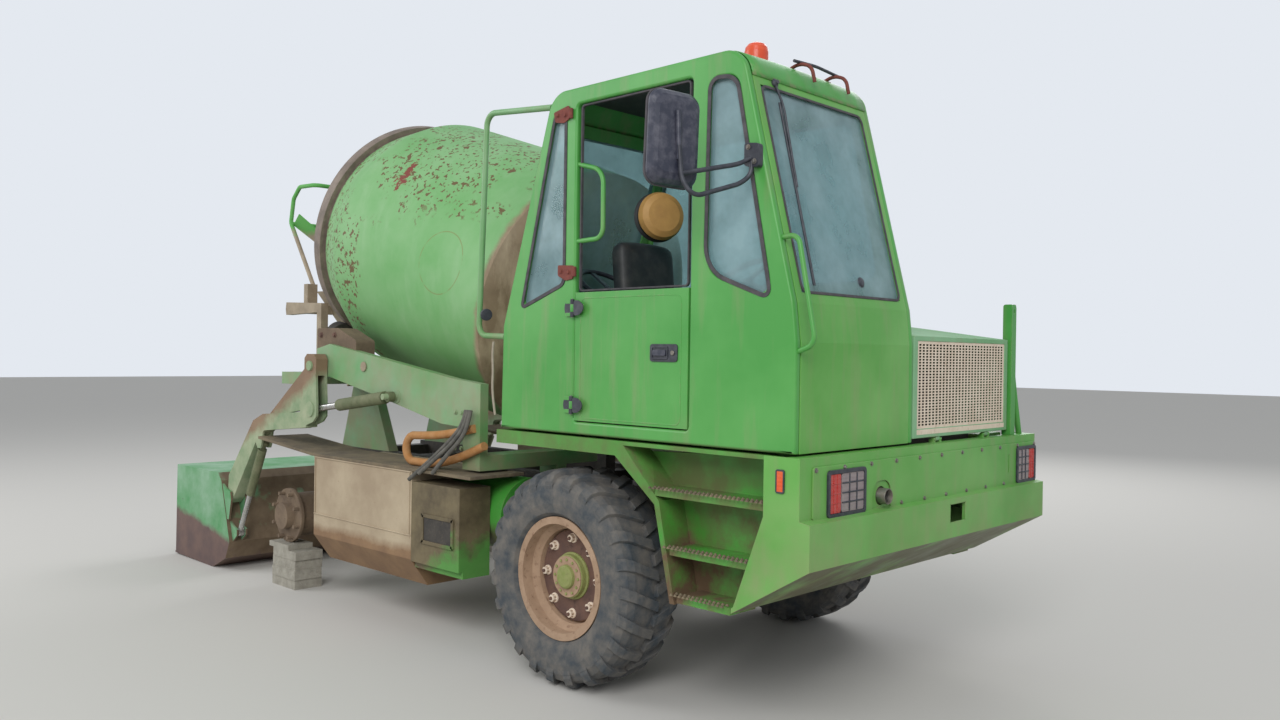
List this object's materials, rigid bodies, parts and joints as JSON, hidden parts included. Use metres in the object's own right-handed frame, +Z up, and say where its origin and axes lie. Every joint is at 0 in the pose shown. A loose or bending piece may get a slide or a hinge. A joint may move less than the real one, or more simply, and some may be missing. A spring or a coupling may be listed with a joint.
{
  "type": "self-loading concrete mixer",
  "caption": "Self-loading concrete mixer: half-width cab beside an engine hood, tilted drum on a cradle, hopper, chute and a loading bucket on lifting arms.",
  "frame": {"origin": "on the ground, at the middle of the whole machine's length and width, mirror included", "axes": "+X towards the cab's face, +Y away from the door side, +Z up"},
  "size_m": [6.615, 2.8425, 3.6023],
  "materials": {
    "paint_green": "weathered satin paint",
    "paint_pale_green": "faded chalky paint",
    "paint_dusty": "paint under dried dust",
    "steel_dark": "greasy bare metal",
    "steel_rusty": "rusty",
    "rubber": "matt, dusty",
    "glass": "dusty clear",
    "lamp": "coloured lens",
    "plastic_black": "matt",
    "fabric_seat": "worn",
    "concrete": "rough cast concrete",
    "chrome_rod": "polished"
  },
  "bodies": {
    "chassis": {"chassis_frame": "steel_dark", "cab_axle": "steel_dark", "bucket_axle": "paint_dusty", "block_stacks": "concrete", "engine_block": "steel_dark", "cab_near_side": "paint_green", "cab_far_side": "paint_green", "cab_front": "paint_green", "windscreen": "glass", "cab_rear": "paint_green", "cab_glass": "glass", "cab_floor": "steel_dark", "cab_roof": "paint_green", "driver_seat": "fabric_seat", "steering_stations": "plastic_black", "front_bumper": "paint_green", "lamps": "lamp", "exhaust_tip": "steel_rusty", "near_skirt": "paint_green", "far_skirt": "paint_green", "water_tank": "paint_dusty", "battery_box": "paint_dusty", "oil_tank": "paint_green", "far_side_tank": "paint_dusty", "mudguards": "paint_dusty", "drum_drive": "steel_dark", "drum_cradle": "paint_pale_green", "hopper": "paint_dusty", "mirror": "plastic_black", "beacon": "lamp", "cab_guard_tube": "paint_dusty"},
    "door": {"cab_door": "paint_green"},
    "hood": {"engine_hood": "paint_green", "radiator_grille": "paint_dusty"},
    "knuckle_near": {"knuckle_near": "steel_dark"},
    "knuckle_far": {"knuckle_far": "steel_dark"},
    "wheel_near": {"tyre_near": "rubber", "rim_near": "paint_dusty"},
    "wheel_far": {"tyre_far": "rubber", "rim_far": "paint_dusty"},
    "drum": {"drum": "paint_pale_green"},
    "roller_near": {"roller_near": "steel_dark"},
    "roller_far": {"roller_far": "steel_dark"},
    "arms": {"loader_arms": "paint_dusty"},
    "lift_barrels": {"lift_barrels": "paint_green"},
    "lift_rods": {"lift_rods": "chrome_rod"},
    "tilt_barrels": {"tilt_barrels": "paint_green"},
    "tilt_rods": {"tilt_rods": "chrome_rod"},
    "bucket": {"bucket": "steel_rusty"},
    "chute": {"chute": "paint_dusty"}
  },
  "joints": [
    {"name": "door_hinge", "type": "hinge", "parent": "chassis", "child": "door", "pos_m": [1.7825, -0.966, 1.77], "axis": [0, 0, -1], "range_deg": [0, 90]},
    {"name": "hood_tilt", "type": "hinge", "parent": "chassis", "child": "hood", "pos_m": [3.1855, 0.61, 1.371], "axis": [0, 1, 0], "range_deg": [0, 60]},
    {"name": "steer_near", "type": "hinge", "parent": "chassis", "child": "knuckle_near", "pos_m": [1.6775, -0.65, 0.585], "axis": [0, 0, 1], "range_deg": [-26, 26]},
    {"name": "steer_far", "type": "hinge", "parent": "chassis", "child": "knuckle_far", "pos_m": [1.6775, 1.09, 0.585], "axis": [0, 0, 1], "range_deg": [-26, 26]},
    {"name": "wheel_near_spin", "type": "hinge", "parent": "knuckle_near", "child": "wheel_near", "pos_m": [1.6775, -0.78, 0.585], "axis": [0, 1, 0], "continuous": true},
    {"name": "wheel_far_spin", "type": "hinge", "parent": "knuckle_far", "child": "wheel_far", "pos_m": [1.6775, 1.22, 0.585], "axis": [0, 1, 0], "continuous": true},
    {"name": "drum_spin", "type": "hinge", "parent": "chassis", "child": "drum", "pos_m": [0.9595, 0.22, 2.016], "axis": [-0.9588, 0, 0.284], "continuous": true},
    {"name": "roller_near_spin", "type": "hinge", "parent": "chassis", "child": "roller_near", "pos_m": [-1.62646, -0.36866, 1.90519], "axis": [-0.9588, 0, 0.284], "continuous": true},
    {"name": "roller_far_spin", "type": "hinge", "parent": "chassis", "child": "roller_far", "pos_m": [-1.62646, 0.80866, 1.90519], "axis": [-0.9588, 0, 0.284], "continuous": true},
    {"name": "arm_lift", "type": "hinge", "parent": "chassis", "child": "arms", "pos_m": [-1.0385, 0.22, 1.676], "axis": [0, 1, 0], "range_deg": [0, 60]},
    {"name": "lift_barrel_swing", "type": "hinge", "parent": "chassis", "child": "lift_barrels", "pos_m": [-0.0625, 0.22, 1.49], "axis": [0, 1, 0], "range_deg": [-1, 9]},
    {"name": "lift_rod_slide", "type": "slide", "parent": "lift_barrels", "child": "lift_rods", "axis": [-0.9918, 0, -0.1281], "range_m": [-0.001, 0.27]},
    {"name": "bucket_tilt", "type": "hinge", "parent": "arms", "child": "bucket", "pos_m": [-2.3025, 0.22, 0.6], "axis": [0, 1, 0], "range_deg": [-20, 25]},
    {"name": "tilt_barrel_swing", "type": "hinge", "parent": "arms", "child": "tilt_barrels", "pos_m": [-1.8225, 0.22, 1.065], "axis": [0, 1, 0], "range_deg": [-5.5, 7]},
    {"name": "tilt_rod_slide", "type": "slide", "parent": "tilt_barrels", "child": "tilt_rods", "axis": [-0.473, 0, -0.881], "range_m": [-0.07, 0.087]},
    {"name": "chute_swing", "type": "hinge", "parent": "chassis", "child": "chute", "pos_m": [-1.8025, 0.22, 1.65], "axis": [0, 0, 1], "range_deg": [-70, 70]}
  ],
  "couplings": [
    {"joint": "steer_far", "follows": "steer_near", "ratio": 1},
    {"joint": "roller_near_spin", "follows": "drum_spin", "ratio": -8.3273},
    {"joint": "roller_far_spin", "follows": "drum_spin", "ratio": -8.3273},
    {"joint": "lift_barrel_swing", "follows": "arm_lift", "ratio": 0.14076},
    {"joint": "lift_rod_slide", "follows": "arm_lift", "m_per_rad": 0.25355},
    {"joint": "tilt_barrel_swing", "follows": "bucket_tilt", "ratio": 0.25},
    {"joint": "tilt_rod_slide", "follows": "bucket_tilt", "m_per_rad": 0.195}
  ]
}
